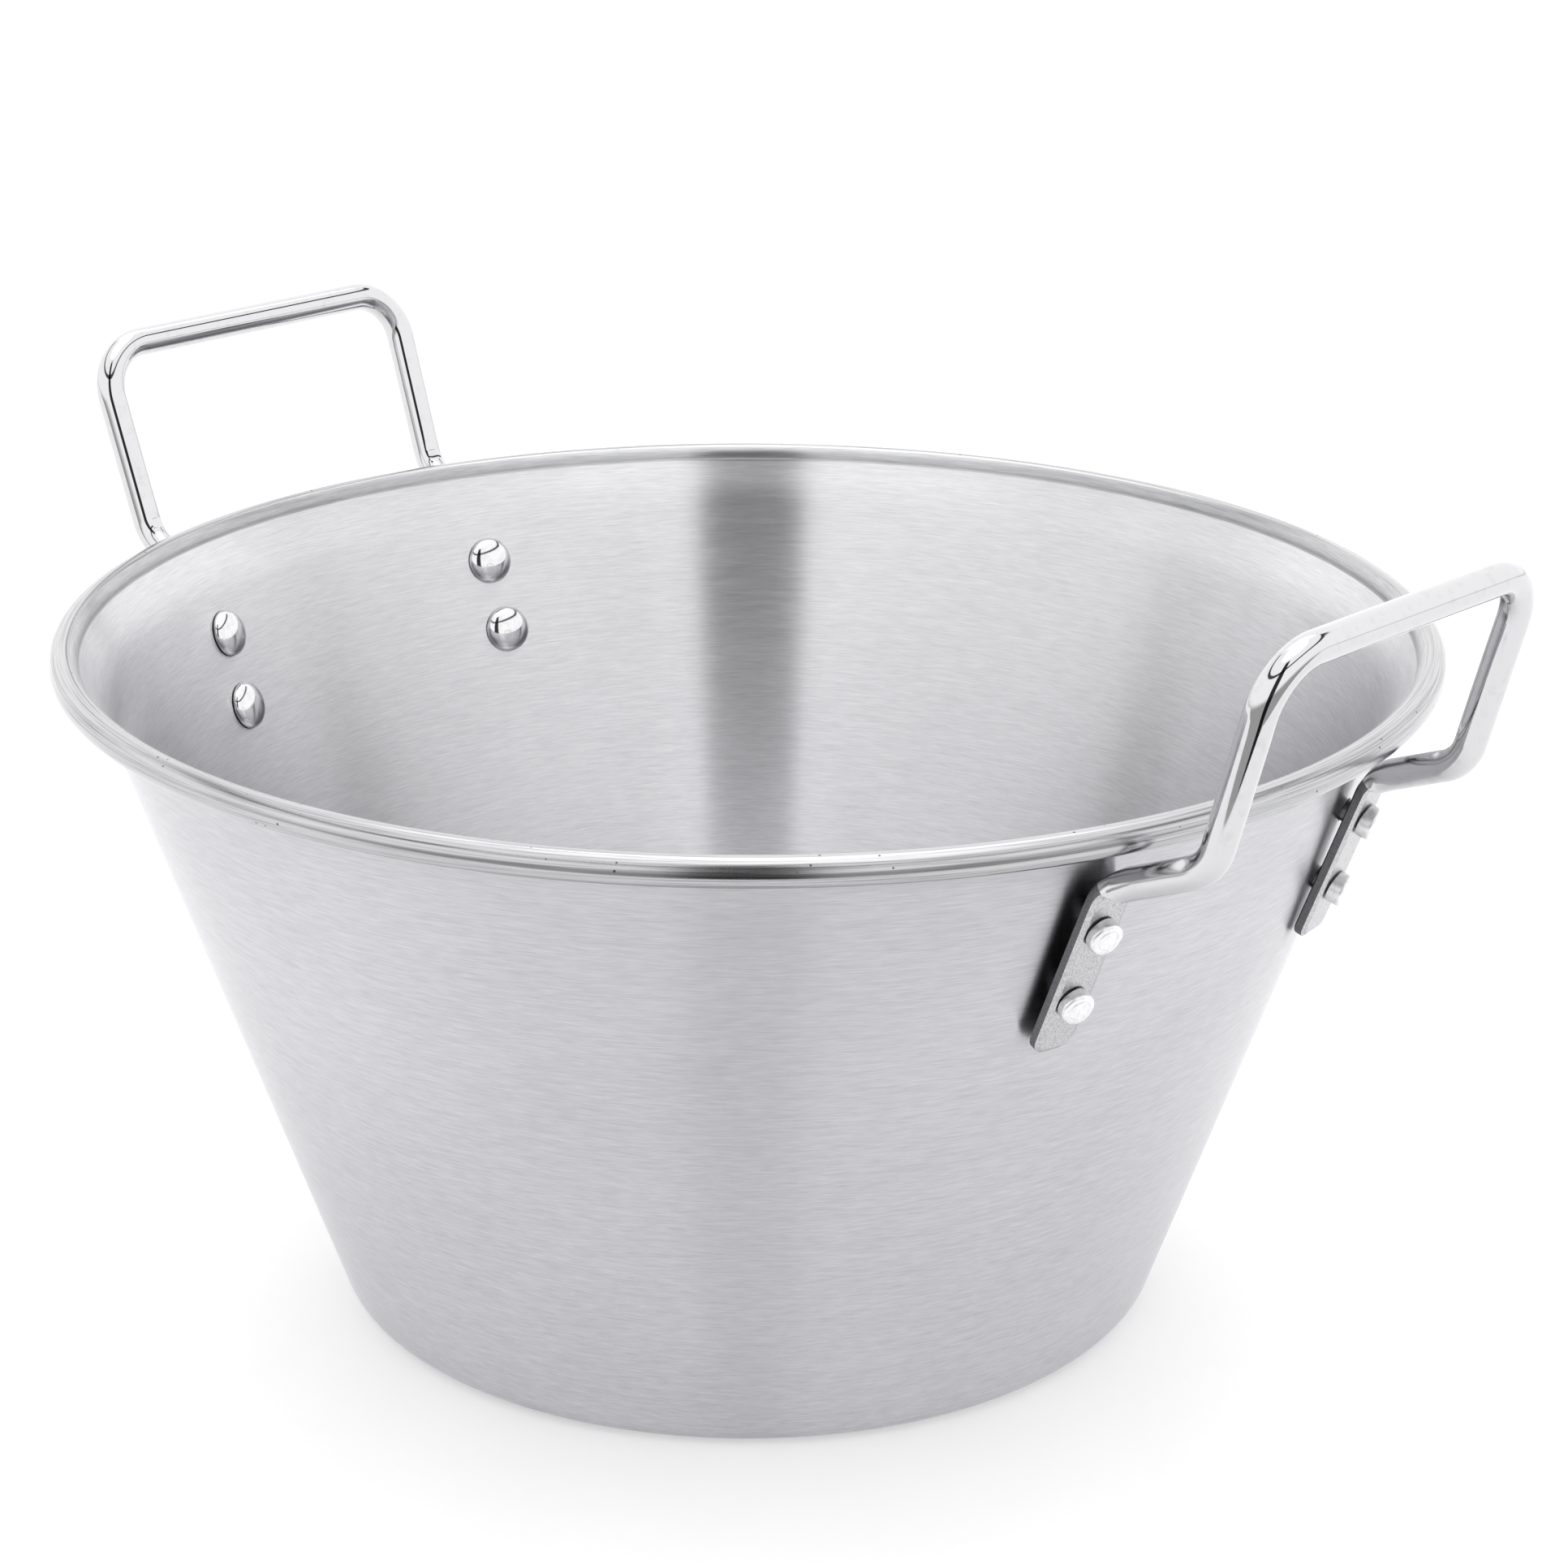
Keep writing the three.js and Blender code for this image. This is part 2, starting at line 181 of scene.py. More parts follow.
def new_piece(name, bm, materials):
    """Makes an object of the mesh, smooth but for its true edges. The whole pan is one body."""
    bmesh.ops.recalc_face_normals(bm, faces=bm.faces)
    mesh = bpy.data.meshes.new(name)
    bm.to_mesh(mesh)
    bm.free()
    for material in materials:
        mesh.materials.append(material)
    mesh.shade_smooth()
    mesh.set_sharp_from_angle(angle=SMOOTH_ANGLE)
    piece = bpy.data.objects.new(name, mesh)
    bpy.context.scene.collection.objects.link(piece)
    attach(piece, "root")
    return piece


def turned_mesh(profile, steps, closed=False):
    """A body turned about Z from (radius, height) points. A point on the axis makes one vertex."""
    bm = bmesh.new()
    turns = [2 * math.pi * i / steps for i in range(steps)]
    rings = []
    for radius, height in profile:
        if radius < ON_AXIS:
            rings.append([bm.verts.new((0, 0, height))] * steps)
            continue
        rings.append([bm.verts.new((radius * math.cos(a), radius * math.sin(a), height)) for a in turns])
    pairs = list(zip(rings, rings[1:]))
    if closed:
        pairs.append((rings[-1], rings[0]))
    for lower, upper in pairs:
        for i in range(steps):
            j = (i + 1) % steps
            corners = dict.fromkeys((lower[i], lower[j], upper[j], upper[i]))
            bm.faces.new(list(corners))
    return bm


def cut_holes(piece, drills):
    """Drills holes with the exact boolean and applies them."""
    for drill in drills:
        modifier = piece.modifiers.new("hole", "BOOLEAN")
        modifier.object = drill
        modifier.operation = "DIFFERENCE"
        modifier.solver = "EXACT"
    graph = bpy.context.evaluated_depsgraph_get()
    mesh = bpy.data.meshes.new_from_object(piece.evaluated_get(graph))
    piece.modifiers.clear()
    piece.data = mesh
    mesh.set_sharp_from_angle(angle=SMOOTH_ANGLE)
    for drill in drills:
        bpy.data.objects.remove(drill)


# ---- wall and rivet places

def wall_radius(height):
    return BASE_RADIUS + WALL_SLOPE * height


def wall_point(across, height):
    """A point on the outside of the wall in the plane y = across, and the outward normal there."""
    radius = wall_radius(height)
    turn = math.asin(across / radius)
    level = math.cos(WALL_ANGLE)
    point = Vector((radius * math.cos(turn), across, height))
    normal = Vector((level * math.cos(turn), level * math.sin(turn), -math.sin(WALL_ANGLE)))
    return point, normal


def tab_frame(side):
    """Middle of the tab between its rivets, and the tab's own directions: up, across and out."""
    point, normal = wall_point(side * LEG_HALF_SPACING, RIVET_MID_HEIGHT)
    along = normal.cross(Vector((0, 1, 0))).normalized()
    across = along.cross(normal)
    lean = Quaternion(across, TAB_LEAN)
    middle = point + normal * (TAB_STANDOFF + TAB_HALF_THICKNESS)
    up = lean @ along
    twist = Quaternion(up, -side * TAB_TWIST)
    return middle, up, twist @ across, twist @ lean @ normal


def rivet_seat(side, level):
    """Where a rivet's axis crosses the outside of the wall, and its direction out of the wall."""
    height = RIVET_MID_HEIGHT + level * RIVET_HALF_SPACING * math.cos(WALL_ANGLE)
    return wall_point(side * LEG_HALF_SPACING, height)


def stand_on(mesh, point, normal, turn):
    """Stands a mesh made along +Z on a point, facing the normal, then turns it about the pan's axis."""
    place = normal.to_track_quat("Z", "Y").to_matrix().to_4x4()
    place.translation = point
    spin = Quaternion((0, 0, 1), turn).to_matrix().to_4x4()
    mesh.transform(spin @ place)


def rivet_drills(turn):
    """Cylinders for the four rivet holes of the handle at the end turned by `turn`."""
    low, high = -DRILL_HALF_LENGTH, DRILL_HALF_LENGTH
    drills = []
    for side in (-1, 1):
        for level in (-1, 1):
            bm = turned_mesh([(0, low), (HOLE_RADIUS, low), (HOLE_RADIUS, high), (0, high)], RIVET_STEPS)
            bmesh.ops.recalc_face_normals(bm, faces=bm.faces)
            mesh = bpy.data.meshes.new("drill")
            bm.to_mesh(mesh)
            bm.free()
            stand_on(mesh, *rivet_seat(side, level), turn)
            drill = bpy.data.objects.new("drill", mesh)
            bpy.context.scene.collection.objects.link(drill)
            drills.append(drill)
    return drills


# ---- shell and wire

def curl_point(degrees, radius):
    a = math.radians(degrees)
    return BEAD_CENTRE + Vector((math.cos(a), math.sin(a))) * radius


def sheet_line():
    """The middle line of the sheet as (radius, height) points, from the axis to the edge of the curl."""
    curl = BEAD_RADIUS - SHEET / 2
    start = curl_point(CURL_START, curl)
    angle = math.radians(CURL_START)
    rise = math.radians(SHOULDER_RISE)
    heading = Vector((math.sin(angle), -math.cos(angle)))
    turn = angle - math.pi / 2 - rise
    crease = start - heading * (CREASE_RADIUS * math.tan(turn / 2))

    def middle_radius(height):
        return wall_radius(height) - SHEET / 2 / math.cos(WALL_ANGLE)

    reach = (crease.x - middle_radius(crease.y)) / (math.cos(rise) - WALL_SLOPE * math.sin(rise))
    shoulder = crease - Vector((math.cos(rise), math.sin(rise))) * reach
    corners = [
        Vector((0, SHEET / 2)),
        Vector((middle_radius(SHEET / 2), SHEET / 2)),
        shoulder,
        crease,
        start,
    ]
    radii = [BASE_CORNER - SHEET / 2, SHOULDER_RADIUS, CREASE_RADIUS]
    line = rounded_line(corners, radii, steps=[16, 8, 8], spacing=0.005)
    for i in range(1, CURL_STEPS + 1):
        line.append(curl_point(CURL_START - CURL_SWEEP * i / CURL_STEPS, curl))
    return line


def offset_line(line, distance):
    """The line moved sideways, to the right of its heading."""
    moved = [p + Vector((h.y, -h.x)) * distance for p, h in zip(line, headings_of(line))]
    moved[0].x = 0.0
    return moved


def shell(outer_material, rim_material, lit_inside_material, rim_crease_shade_material):
    """The pressed sheet: brushed outside, brushed inside in a lighter copy that paints light, polished on
    the curl, and beside it a darker copy of the brushed steel that paints the shade in the crease.
    """
    line = sheet_line()
    outside = offset_line(line, SHEET / 2)
    inside = offset_line(line, -SHEET / 2)
    bm = turned_mesh([*outside, *reversed(inside)], TURN_STEPS)
    for i, face in enumerate(bm.faces):
        radius = face.calc_center_median().xy.length
        if radius > BEAD_CENTRE.x - POLISH_PAST_TOP:
            face.material_index = 1
        # the crease inside the curl gets the darker brushed steel, painted shade
        elif radius > BEAD_CENTRE.x - BEAD_RADIUS:
            face.material_index = 3
        # the inside gets the lighter copy of the brushed steel, painted light
        elif i >= len(outside) * TURN_STEPS:
            face.material_index = 2
    materials = [outer_material, rim_material, lit_inside_material, rim_crease_shade_material]
    piece = new_piece("fine_pot_shell", bm, materials)
    cut_holes(piece, [*rivet_drills(0), *rivet_drills(math.pi)])
    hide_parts("pot_shell")


def rim_wire(material):
    ring = (2 * math.pi * i / WIRE_SIDES for i in range(WIRE_SIDES))
    profile = [BEAD_CENTRE + Vector((math.cos(a), math.sin(a))) * WIRE_RADIUS for a in ring]
    piece = new_piece("fine_rim_wire", turned_mesh(profile, TURN_STEPS, closed=True), [material])
    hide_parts("rim_wire")


# ---- handles

SECTION_STEPS = (14, 4, 5, 2, 14, 2, 5, 4)  # front, bevel, side, back edge, back, back edge, side, bevel
SECTION_SIDES = sum(SECTION_STEPS)
TAB_SIDE_START = SECTION_STEPS[0] + SECTION_STEPS[1]
TAB_SIDE_END = SECTION_SIDES - SECTION_STEPS[-1]


def tab_section(half_width, front):
    """The tab's outline as (across, out) points, from the right end of its front over the left."""
    back = TAB_HALF_THICKNESS
    flat = half_width - TAB_BEVEL_WIDTH
    shoulder = min(front, TAB_HALF_THICKNESS - TAB_BEVEL_DEPTH)
    corners = [
        (flat, front), (-flat, front), (-half_width, shoulder), (-half_width, TAB_BACK_EDGE - back),
        (TAB_BACK_EDGE - half_width, -back), (half_width - TAB_BACK_EDGE, -back),
        (half_width, TAB_BACK_EDGE - back), (half_width, shoulder), (flat, front),
    ]
    points = []
    for start, end, steps in zip(corners, corners[1:], SECTION_STEPS):
        for i in range(steps):
            points.append((mix(start[0], end[0], i / steps), mix(start[1], end[1], i / steps)))
    return points


def rod_section():
    """The rod's round outline, point for point with the tab's."""
    first = math.pi / 2 - math.pi * SECTION_STEPS[0] / SECTION_SIDES
    angles = [first + 2 * math.pi * i / SECTION_SIDES for i in range(SECTION_SIDES)]
    return [(ROD_RADIUS * math.cos(a), ROD_RADIUS * math.sin(a)) for a in angles]


def handle_section(travel, knee_end):
    """The outline `travel` metres along the handle from the end of its tab."""
    half_width = TAB_HALF_WIDTH
    if travel < TAB_END_RADIUS:
        rest = TAB_END_RADIUS - travel
        half_width += math.sqrt(max(0.0, TAB_END_RADIUS ** 2 - rest ** 2)) - TAB_END_RADIUS
    front = TAB_HALF_THICKNESS - TAB_BEVEL_DEPTH * max(0.0, 1 - travel / TAB_BEVEL_WIDTH)
    front_share = smooth_step(*FRONT_STEP, travel)
    side_share = smooth_step(*SIDE_SWELL, travel)
    die_start = knee_end - DIE_LENGTH
    die = smooth_step(die_start - DIE_EDGE, die_start + DIE_EDGE, travel)
    die *= 1 - smooth_step(knee_end - DIE_EDGE, knee_end + DIE_EDGE, travel)
    flat, bevel = SECTION_STEPS[0], SECTION_STEPS[1]
    points = []
    for i, (tab, rod) in enumerate(zip(tab_section(half_width, front), rod_section())):
        past_face = min(max(0, i - flat), max(0, SECTION_SIDES - i)) / bevel
        out_share = mix(front_share, side_share, smooth_step(0, 1, past_face))
        across = mix(tab[0], rod[0], side_share)
        out = mix(tab[1], rod[1], out_share)
        points.append((across, mix(out, max(out, DIE_DEPTH - ROD_RADIUS), die)))
    return points


def handle_line(bends):
    """The front half of the handle's middle line, from the end of the tab to the middle of the grip.

    The tab's across and out directions come with it, and the index of the point where the knee ends.
    """
    middle, up, across, out = tab_frame(-1)
    knee_out, knee_up, knee_wider = bends["knee"]
    grip_out, grip_up, grip_wider = bends["grip"]
    corners = [
        middle - up * TAB_BELOW,
        middle + up * TAB_ABOVE,
        Vector((knee_out, -LEG_HALF_SPACING - knee_wider, knee_up)),
        Vector((grip_out, -LEG_HALF_SPACING - grip_wider, grip_up)),
        Vector((grip_out, 0, grip_up)),
    ]
    radii = [TAB_BEND_RADIUS, KNEE_RADIUS, GRIP_RADIUS]
    line = rounded_line(corners, radii, steps=[24, 28, 20], spacing=0.003)
    quarter = (math.pi / 2 * i / END_STEPS for i in range(END_STEPS + 1))
    end = sorted([TAB_BEVEL_WIDTH, *(TAB_END_RADIUS * (1 - math.cos(a)) for a in quarter)])
    beyond = [point for point in line if (point - corners[0]).length > end[-1]]
    line = [corners[0] + up * t for t in end] + beyond
    knee_last = bend_points(*corners[1:4], KNEE_RADIUS, 1)[-1]
    knee_end = min(range(len(line)), key=lambda i: (line[i] - knee_last).length)
    return line, across, out, knee_end


def handle_rings(bends):
    """The handle's outlines from one tab's end to the other's, and how far along each front one lies."""
    line, across, out, knee_end = handle_line(bends)
    travel = [0.0]
    for a, b in zip(line, line[1:]):
        travel.append(travel[-1] + (b - a).length)
    headings = headings_of(line)
    headings[-1] = Vector((0, 1, 0))
    front_half = []
    for i, point in enumerate(line):
        if i:
            turn_on = headings[i - 1].rotation_difference(headings[i])
            across, out = turn_on @ across, turn_on @ out
        section = handle_section(travel[i], travel[knee_end])
        front_half.append([point + across * a + out * b for a, b in section])
    mirror = Vector((1, -1, 1))
    rear_half = [[point * mirror for point in ring] for ring in front_half[-2::-1]]
    return front_half + rear_half, travel


def handle(name, bends, turn, rod_material, tab_material, painted_shade_edge_material):
    outlines, travel = handle_rings(bends)
    bm = bmesh.new()
    rings = [[bm.verts.new(point) for point in ring] for ring in outlines]
    for i, (a, b) in enumerate(zip(rings, rings[1:])):
        on_tab = travel[min(i, len(rings) - 2 - i)] < BEND_TRAVEL
        for k in range(SECTION_SIDES):
            n = (k + 1) % SECTION_SIDES
            face = bm.faces.new((a[k], a[n], b[n], b[k]))
            if on_tab:
                # the tab's sides and back (index 2) get the dark steel, painted shade
                face.material_index = 2 if TAB_SIDE_START <= k < TAB_SIDE_END else 1
    for ring in (rings[0], rings[-1]):
        bm.faces.new(ring).material_index = 1
    bmesh.ops.rotate(bm, verts=bm.verts, matrix=Quaternion((0, 0, 1), turn).to_matrix())
    piece = new_piece("fine_" + name, bm, [rod_material, tab_material, painted_shade_edge_material])
    cut_holes(piece, rivet_drills(turn))
    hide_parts(name)


# ---- rivets

def rivet_profile(tab_face):
    """(radius, height) points along the rivet's axis; height 0 is the outside of the wall."""
    dome_base = -SHEET - DOME_GAP
    profile = []
    for i in range(DOME_STEPS + 1):
        a = math.pi / 2 * i / DOME_STEPS
        profile.append((DOME_RADIUS * math.sin(a), dome_base - DOME_HEIGHT * math.cos(a)))
    base = tab_face + FORMED_GAP
    top = base + FORMED_HEIGHT
    profile += [(SHANK_RADIUS, dome_base), (SHANK_RADIUS, base), (FORMED_RADIUS * FOOT_SHARE, base)]
    profile += [(FORMED_RADIUS, base + FOOT_HEIGHT), (FORMED_RADIUS, top - FORMED_EDGE)]
    flat = FORMED_RADIUS - FORMED_EDGE
    for i in range(1, EDGE_STEPS + 1):
        a = math.pi / 2 * i / EDGE_STEPS
        profile.append((flat + FORMED_EDGE * math.cos(a), top - FORMED_EDGE + FORMED_EDGE * math.sin(a)))
    ring = FORMED_RADIUS * RING_SHARE
    profile += [
        (ring + GROOVE_HALF_WIDTH, top + CROWN * 0.5),
        (ring, top + CROWN * 0.1),
        (ring - GROOVE_HALF_WIDTH, top + CROWN * 0.7),
        (ring * 0.5, top + CROWN),
        (0, top + CROWN),
    ]
    return profile


def tilt_underside(bm, height, axis, out):
    """Tilts the flat underside of the formed head, all at one height, to lie along the tab."""
    tab_normal = axis.to_track_quat("Z", "Y").inverted() @ out
    for vertex in bm.verts:
        if abs(vertex.co.z - height) < SAME_HEIGHT:
            vertex.co.z -= (tab_normal.x * vertex.co.x + tab_normal.y * vertex.co.y) / tab_normal.z


def roughen_head(bm, base, name):
    """Makes the hammered head slightly uneven, each rivet in its own way, which its name settles."""
    shift = Vector((len(name) * 0.37, name.count("e") * 1.7, sum(map(ord, name)) * 0.13))
    for vertex in bm.verts:
        if vertex.co.z > base - SAME_HEIGHT:
            bump = noise.noise(vertex.co / HAMMER_SPACING + shift)
            reach = Vector((vertex.co.x, vertex.co.y, 0))
            share = smooth_step(base, base + HAMMER_FOOT, vertex.co.z)
            vertex.co += reach * HAMMER_WIDTH * bump + Vector((0, 0, HAMMER_HEIGHT * bump * share))


def rivet(end, turn, side, level, dome_material, head_material, shank_painted_shade_material):
    point, normal = rivet_seat(side, level)
    middle, _, _, out = tab_frame(side)
    face = middle + out * TAB_HALF_THICKNESS
    tab_face = (face - point).dot(out) / normal.dot(out)
    bm = turned_mesh(rivet_profile(tab_face), RIVET_STEPS)
    for item in bm.faces:
        centre = item.calc_center_median()
        if centre.z > tab_face:
            item.material_index = 1
        # the shank gets the same dark steel, painted shade of the gap under the tab
        elif centre.z > -SHEET - DOME_GAP:
            item.material_index = 2
    face_name = "front" if (side < 0) == (turn == 0) else "rear"
    name = "_".join(["rivet", end, face_name, "upper" if level > 0 else "lower"])
    tilt_underside(bm, tab_face + FORMED_GAP, normal, out)
    roughen_head(bm, tab_face + FORMED_GAP, name)
    piece = new_piece("fine_" + name, bm, [dome_material, head_material, shank_painted_shade_material])
    stand_on(piece.data, point, normal, turn)
    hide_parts(name)


# ---- materials

def node(tree, kind, inputs=None, **settings):
    """Adds a shader node. An input is a value, or another node's output to link."""
    made = tree.nodes.new("ShaderNode" + kind)
    for name, value in settings.items():
        setattr(made, name, value)
    for key, value in (inputs or {}).items():
        if isinstance(value, bpy.types.NodeSocket):
            tree.links.new(value, made.inputs[key])
        else:
            made.inputs[key].default_value = value
    return made


def maths(tree, operation, a, b=0.0):
    return node(tree, "Math", {0: a, 1: b}, operation=operation).outputs[0]


def varied(tree, base, value, span):
    """The base, and a span times the value on top of it."""
    return maths(tree, "ADD", base, maths(tree, "MULTIPLY", value, span))


def between(tree, dark, light, factor):
    """A colour that runs from dark to light. Sockets 6 and 7 are the colour mix's A and B."""
    inputs = {"Factor": factor, 6: (*dark, 1.0), 7: (*light, 1.0)}
    return node(tree, "Mix", inputs, data_type="RGBA").outputs[2]


def remap(tree, value, low, high, to_low, to_high):
    inputs = {"Value": value, "From Min": low, "From Max": high, "To Min": to_low, "To Max": to_high}
    return node(tree, "MapRange", inputs, interpolation_type="SMOOTHSTEP").outputs["Result"]


def noise_at(tree, place, scale, detail=2.0, roughness=0.5):
    inputs = {"Vector": place, "Scale": scale, "Detail": detail, "Roughness": roughness}
    return node(tree, "TexNoise", inputs).outputs["Fac"]


def turned_noise(tree, streaks_round, streaks_along, detail=2.0, roughness=0.5):
    """Noise stretched round the pan's axis: long marks round it, fine ones in radius and in height."""
    place = node(tree, "TexCoord").outputs["Object"]
    axes = node(tree, "SeparateXYZ", {0: place})
    level = node(tree, "CombineXYZ", {0: axes.outputs[0], 1: axes.outputs[1]}).outputs[0]
    radius = node(tree, "VectorMath", {0: level}, operation="LENGTH").outputs["Value"]
    unit = node(tree, "VectorMath", {0: level}, operation="NORMALIZE").outputs["Vector"]
    turn = node(tree, "VectorMath", {0: unit, "Scale": streaks_round}, operation="SCALE").outputs["Vector"]
    split = node(tree, "SeparateXYZ", {0: turn})
    up = maths(tree, "MULTIPLY", axes.outputs[2], streaks_along)
    out = maths(tree, "MULTIPLY", radius, streaks_along)
    vector = node(tree, "CombineXYZ", {0: split.outputs[0], 1: split.outputs[1], 2: up}).outputs[0]
    inputs = {"Vector": vector, "W": out, "Scale": 1.0, "Detail": detail, "Roughness": roughness}
    return node(tree, "TexNoise", inputs, noise_dimensions="4D").outputs["Fac"]


def object_place(tree, scale=(1.0, 1.0, 1.0)):
    place = node(tree, "TexCoord").outputs["Object"]
    return node(tree, "VectorMath", {0: place, 1: scale}, operation="MULTIPLY").outputs["Vector"]


def steel(name, dark, light, tone, roughness, bump=None, anisotropy=None):
    """A steel whose colour runs from dark to light with its tone.

    tone and roughness are functions that add nodes and give an output, and so is bump, which gives the
    relief's depth in metres too. With anisotropy, the gloss spreads across brushing that runs round Z.
    """
    material = bpy.data.materials.new(name)
    material.use_nodes = True
    tree = material.node_tree
    shader = tree.nodes["Principled BSDF"]
    shader.inputs["Metallic"].default_value = 1.0
    tree.links.new(between(tree, dark, light, tone(tree)), shader.inputs["Base Color"])
    tree.links.new(roughness(tree), shader.inputs["Roughness"])
    if bump:
        height, distance = bump(tree)
        relief = node(tree, "Bump", {"Height": height, "Distance": distance, "Strength": 1.0})
        tree.links.new(relief.outputs["Normal"], shader.inputs["Normal"])
    if anisotropy:
        shader.inputs["Anisotropic"].default_value = anisotropy
        shader.inputs["Anisotropic Rotation"].default_value = 0.25
        tangent = node(tree, "Tangent", direction_type="RADIAL", axis="Z")
        tree.links.new(tangent.outputs[0], shader.inputs["Tangent"])
    return material


def brushed_steel(name, dark, light):
    """Satin steel brushed round the pan in fine hairlines."""
    def fine(tree):
        return turned_noise(tree, 26.0, 4600.0, 2.0, 0.65)

    def broad(tree):
        return turned_noise(tree, 9.0, 900.0)

    def tone(tree):
        patches = noise_at(tree, object_place(tree), 14.0, 2.0)
        lines = varied(tree, maths(tree, "MULTIPLY", fine(tree), 0.65), broad(tree), 0.2)
        return remap(tree, varied(tree, lines, patches, 0.15), 0.3, 0.7, 0.0, 1.0)

    def roughness(tree):
        return varied(tree, 0.26, broad(tree), 0.07)

    def bump(tree):
        return maths(tree, "ADD", maths(tree, "MULTIPLY", fine(tree), 0.6), broad(tree)), 0.000006

    return steel(name, dark, light, tone, roughness, bump, anisotropy=1.0)


def rim_steel():
    """Polished steel of the curled rim, with turned scratches and a few pits."""
    def scratches(tree):
        return turned_noise(tree, 4.0, 2600.0, 3.0, 0.65)

    def pits(tree):
        cells = node(tree, "TexVoronoi", {"Vector": object_place(tree), "Scale": 220.0})
        return remap(tree, cells.outputs["Distance"], 0.05, 0.09, 0.0, 1.0)

    def tone(tree):
        return maths(tree, "MULTIPLY", remap(tree, scratches(tree), 0.25, 0.6, 0.35, 1.0), pits(tree))

    def roughness(tree):
        return varied(tree, 0.15, scratches(tree), 0.12)

    def bump(tree):
        return scratches(tree), 0.000004

    return steel("rim_steel", (0.10, 0.10, 0.105), (0.50, 0.50, 0.51), tone, roughness, bump)


def rod_steel():
    """Mirror-polished rod, duller low down where the knee was worked."""
    def wear(tree):
        return noise_at(tree, object_place(tree), 300.0, 3.0, 0.6)

    def tone(tree):
        return remap(tree, wear(tree), 0.2, 0.5, 0.0, 1.0)

    def roughness(tree):
        height = node(tree, "SeparateXYZ", {0: node(tree, "TexCoord").outputs["Object"]}).outputs[2]
        dull = remap(tree, height, 0.174, 0.186, 0.13, 0.035)
        return varied(tree, dull, wear(tree), 0.03)

    def bump(tree):
        return wear(tree), 0.0000015

    return steel("rod_steel", (0.53, 0.53, 0.54), (0.59, 0.59, 0.60), tone, roughness, bump)


def tab_steel():
    """Pressed tab: mill finish with scratches."""
    def scratches(tree):
        return noise_at(tree, object_place(tree, (1.0, 1.0, 0.3)), 3200.0, 4.0, 0.7)

    def tone(tree):
        return remap(tree, scratches(tree), 0.3, 0.65, 0.0, 1.0)

    def roughness(tree):
        return varied(tree, 0.22, scratches(tree), 0.12)

    def bump(tree):
        return scratches(tree), 0.000012

    return steel("tab_steel", (0.34, 0.34, 0.35), (0.58, 0.58, 0.59), tone, roughness, bump)


def painted_shade_edge_steel():
    """Dark steel that paints the shade on the tab's sides and back and on the rivet shanks, in the gap
    between tab and wall; its tone varies at random.
    """
    def scale(tree):
        return noise_at(tree, object_place(tree), 1500.0, 3.0, 0.6)

    def roughness(tree):
        return varied(tree, 0.30, scale(tree), 0.15)

    return steel("painted_shade_edge_steel", (0.10, 0.10, 0.105), (0.26, 0.26, 0.27), scale, roughness)


def dome_steel():
    """Polished domes of the rivets inside the pan, slightly worn."""
    def wear(tree):
        return noise_at(tree, object_place(tree), 400.0, 3.0, 0.6)

    def tone(tree):
        return remap(tree, wear(tree), 0.3, 0.6, 0.3, 1.0)

    def roughness(tree):
        return varied(tree, 0.06, wear(tree), 0.06)

    def bump(tree):
        return wear(tree), 0.000008

    return steel("dome_steel", (0.58, 0.58, 0.59), (0.68, 0.68, 0.69), tone, roughness, bump)


def head_steel():
    """Hammered heads of the rivets on the tabs."""
    def hammering(tree):
        return noise_at(tree, object_place(tree), 900.0, 3.0, 0.6)

    def tone(tree):
        return remap(tree, hammering(tree), 0.3, 0.6, 0.3, 1.0)

    def roughness(tree):
        return varied(tree, 0.32, hammering(tree), 0.12)

    def bump(tree):
        return hammering(tree), 0.00003

    return steel("head_steel", (0.68, 0.68, 0.69), (0.84, 0.84, 0.85), tone, roughness, bump)


def wire_steel():
    """Plain drawn wire, out of sight inside the curl."""
    def grain(tree):
        return noise_at(tree, object_place(tree), 700.0, 3.0)

    def roughness(tree):
        return varied(tree, 0.4, grain(tree), 0.2)

    return steel("wire_steel_fine", (0.35, 0.35, 0.35), (0.5, 0.5, 0.5), grain, roughness)


# ---- studio

CAMERA_AZIMUTH = math.radians(43.15)  # from looking along +Y, turned towards looking along -X
CAMERA_ELEVATION = math.radians(19.73)
CAMERA_DISTANCE = 1.0276
CAMERA_TARGET = Vector((0.00684, 0.00641, 0.13667))
CAMERA_ROLL = 0.0043
CAMERA_LENS = 89.07

FLOOR_HALF_SIZE = 12.0
FLOOR_FRONT_EDGE = 0.42  # from the pan's axis, towards the camera
FLOOR_LIFT = 0.33  # soft light from under the table top, which thins the pan's shadow
GAP_START = math.radians(10.1)  # the dark gap between the front softboxes, to each side of the camera
GAP_END = math.radians(11.0)  # where the softboxes are fully bright
GAP_LIGHT = 0.03
SIDE_LIGHT = 1.42
LOW_LIGHT = 0.5  # below the table's edge
HORIZON_BLEND = 0.1  # height of a direction, up or down, over which the one turns into the other
TOP_LIGHT = 2.0
BACK_LIGHT = 2.5  # high behind the pan, where it lights the near side of the inside
BACK_RISE = (math.radians(42), math.radians(52))  # elevations between which it comes up
BACK_REACH = (math.radians(125), math.radians(155))  # and how far round from the camera
RING_LIGHT = 0.06  # in the narrow gap between the side softboxes and the overhead one
RING_MIDDLE = math.radians(42)
RING_HALF_WIDTH = math.radians(2.8)
RING_SOFTNESS = 0.3  # of its half width, at either edge
RING_END = math.radians(138)  # how far round from the camera it reaches
RING_FADE = 0.1  # radians over which it ends there
TOP_RISE = (math.radians(58), math.radians(70))  # elevations between which the overhead softbox comes up


def level_direction(azimuth):
    """The level direction from the pan towards a camera at that azimuth."""
    return Vector((math.sin(azimuth), -math.cos(azimuth), 0))


